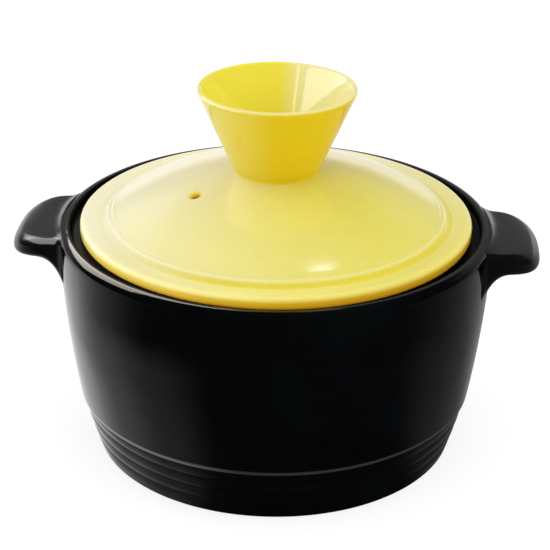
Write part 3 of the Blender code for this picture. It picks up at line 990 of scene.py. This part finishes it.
def bearing_of(across, along):
    """Bearing about the pot in radians: 0 in front, and more towards the right."""
    return maths("ARCTAN2", across, times(along, -1))


def bearing_ramp(bearing, stops, widen=1.0):
    """A brightness by bearing, with stops in degrees: -180 behind, -90 left, 0 in front, 90 right.
    Widened, the bearings count for more, so that the bright parts reach further to the front."""
    share = maths("MULTIPLY_ADD", times(bearing, widen), 1 / (2 * pi), 0.5)
    ramp = add_node(tree_of(share), "ShaderNodeValToRGB", [share])
    ramp.color_ramp.interpolation = "EASE"
    marks = ramp.color_ramp.elements
    while len(marks) < len(stops):
        marks.new(0.5)
    for mark, (degrees_round, bright) in zip(marks, stops):
        mark.position = degrees_round / 360 + 0.5
    for mark, (degrees_round, bright) in zip(marks, stops):
        mark.color = (bright, bright, bright, 1)
    return ramp.outputs[0]


def floor_card():
    """Nearly white for the camera, and for a gloss bright behind the pot and dark in front."""
    material = bpy.data.materials.new("white_card")
    material.use_nodes = True
    tree = material.node_tree
    tree.nodes.remove(tree.nodes["Principled BSDF"])
    spot = add_node(tree, "ShaderNodeTexCoord").outputs["Object"]
    across, along, _ = split(spot)
    direct, glossy, bouncing = ray_kinds(tree)
    from_pot = distance_from_axis(spot)
    bearing = bearing_of(across, along)

    # Close to the pot the bright parts reach further round, most of all on its left.
    on_left = spread(across, 30 * mm, -30 * mm, 0.2, 1.0)
    near = spread(from_pot, 190 * mm, 115 * mm, 0.0, 0.5)
    mirrored = bearing_ramp(bearing, floor_in_gloss,
                            widen=maths("MULTIPLY_ADD", near, on_left, 1.0))

    # Far from the pot the front is black cloth.
    far = spread(from_pot, 205 * mm, 245 * mm)
    sideways = spread(maths("ABSOLUTE", bearing), radians(54), radians(102))
    cloth = times(far, minus(1, sideways))
    mirrored = times(mirrored, minus(1, cloth))

    glow = plus(times(direct, card_glow), times(glossy, mirrored))
    glow = plus(glow, times(bouncing, card_bounce))
    colour = blend_colour(direct, (0.02, 0.02, 0.02), (0.34, 0.34, 0.34))
    card = add_node(tree, "ShaderNodeBsdfDiffuse", {"Color": colour})
    lit = add_node(tree, "ShaderNodeEmission", {"Strength": glow})
    both = add_node(tree, "ShaderNodeAddShader", [card.outputs[0], lit.outputs[0]])
    feed(tree.nodes["Material Output"].inputs["Surface"], both.outputs[0])
    return material


def lay_floor():
    """A flat sheet of the card under the pot."""
    build = bmesh.new()
    bmesh.ops.create_grid(build, x_segments=2, y_segments=2, size=floor_half_width)
    return put_in_scene("floor_card", mesh_of(build, "floor_card", floor_card()))


lay_floor()
print("floor card", 2 * floor_half_width, "m across at height 0")

# %% [markdown]
# ## The light
# A key lamp on the left and a weaker one at the right front light the scene, in a room of plain
# pale walls, and a card held low throws some light up under the lid's edge. The walls look white
# to the camera, but a gloss sees them bright only low down behind the pot.
#
# Glaze is a mirror, so each highlight of the photograph is the picture of some lamp or window. Here
# each has a lamp that shows only in gloss, and only on the piece that wears the highlight: above
# and behind on the left for the pot's rim and the lugs' tops, far left for the lid and for the cup
# of the knob, and a small window overhead for the spot at the front of the lid.

# %% Light the room
wall_light = 0.88
dim_wall = 0.012
backdrop_in_gloss = ((-180, 1.0), (-150, 0.9), (-118, 0.2), (-100, 0.0), (110, 0.0), (130, 0.2),
                     (155, 0.8), (180, 1.0))   # bearing, brightness


def room():
    """A world that is white for the camera, plain for lighting, and for a gloss a low backdrop."""
    world = bpy.data.worlds.new("studio")
    world.use_nodes = True
    tree = world.node_tree
    across, along, up = split(add_node(tree, "ShaderNodeTexCoord").outputs["Generated"])
    direct, glossy, _ = ray_kinds(tree)
    low = spread(up, 0.02, 0.22, 1, 0, smooth=True)
    backdrop = bearing_ramp(bearing_of(across, along), backdrop_in_gloss)
    back_wall = times(spread(along, 0.25, 0.75, 0, 0.26, smooth=True),
                      spread(up, 0.64, 0.52, smooth=True))
    mirrored = plus(plus(times(backdrop, low), back_wall), dim_wall)
    unseen = minus(1, maths("MAXIMUM", direct, glossy))
    strength = plus(plus(direct, times(unseen, wall_light)), times(glossy, mirrored))
    background = tree.nodes["Background"]
    feed(background.inputs["Strength"], strength)
    background.inputs["Color"].default_value = (1, 1, 1, 1)
    return world


def pieces_for(lamp, purpose, pieces):
    """A collection of the pieces that a lamp is linked to."""
    chosen = bpy.data.collections.new(lamp.name + purpose)
    for piece in pieces:
        chosen.objects.link(piece)
    return chosen


def soft_box(name, place, size, brightness, shows_in, only=(), shaded_by=(), tint=(1.0, 1.0, 1.0)):
    """A rectangular lamp that faces the pot, as bright as white card when brightness is 1. Its
    place is a bearing, a height angle and a distance, and it shows in gloss or gives light."""
    bearing, height_angle, distance = radians(place[0]), radians(place[1]), place[2]
    light = bpy.data.lights.new(name, "AREA")
    light.shape = "RECTANGLE"
    light.size, light.size_y = size
    light.energy = brightness * pi * light.size * light.size_y
    light.color = tint
    lamp = put_in_scene(name, light)
    spot = lamp_aim + distance * Vector((sin(bearing) * cos(height_angle),
                                         -cos(bearing) * cos(height_angle), sin(height_angle)))
    facing = (lamp_aim - spot).to_track_quat("-Z", "Y").to_matrix().to_4x4()
    lamp.matrix_world = Matrix.Translation(spot) @ facing
    lamp.visible_camera = False
    lamp.visible_glossy = shows_in == "gloss"
    lamp.visible_diffuse = shows_in == "light"
    if only:
        lamp.light_linking.receiver_collection = pieces_for(lamp, "_falls_on", only)
    if shaded_by:
        lamp.light_linking.blocker_collection = pieces_for(lamp, "_is_shaded_by", shaded_by)


lamp_aim = Vector((0, 0, 110 * mm))
warm_white, cool_white, sky_blue = (1.0, 0.93, 0.81), (0.93, 0.94, 1.0), (0.55, 0.60, 1.0)
bpy.context.scene.world = room()
soft_box("left_key", (-75, 50, 1.1), (1.6, 0.9), 0.60, "light")
soft_box("front_fill", (66, 32, 1.2), (1.4, 0.9), 0.80, "light")
soft_box("bounce_card", (-50, -12, 0.42), (0.62, 0.12), 4.2, "light", (lid,), (lid, knob))
soft_box("rim_light", (-137, 41, 1.1), (0.96, 0.56), 5.0, "gloss", (pot,), tint=warm_white)
soft_box("gap_light", (176, 50, 1.1), (0.10, 0.08), 1.5, "gloss", (pot,))
soft_box("lug_light", (-139, 42, 1.1), (0.89, 0.50), 0.5, "gloss", (left_lug, right_lug))
soft_box("edge_light", (-80, 52, 1.1), (1.7, 0.9), 5.2, "gloss", (left_lug,), tint=cool_white)
soft_box("corner_light", (-124, 30, 1.1), (0.62, 0.42), 3.0, "gloss", (left_lug,), tint=cool_white)
soft_box("left_window", (-98, 27, 1.1), (2.4, 0.8), 0.45, "gloss", (lid,))
soft_box("ceiling_window", (112, 74.5, 1.01), (0.05, 0.15), 14.0, "gloss", (lid,), tint=sky_blue)
soft_box("cup_window", (-88, 16, 1.1), (1.75, 0.8), 4.0, "gloss", (knob,))
soft_box("cup_streak", (-31, 16, 1.1), (0.09, 0.8), 3.4, "gloss", (knob,))
bpy.context.scene.view_settings.view_transform = "Standard"
print("lamps:", [lamp.name for lamp in bpy.data.lights])
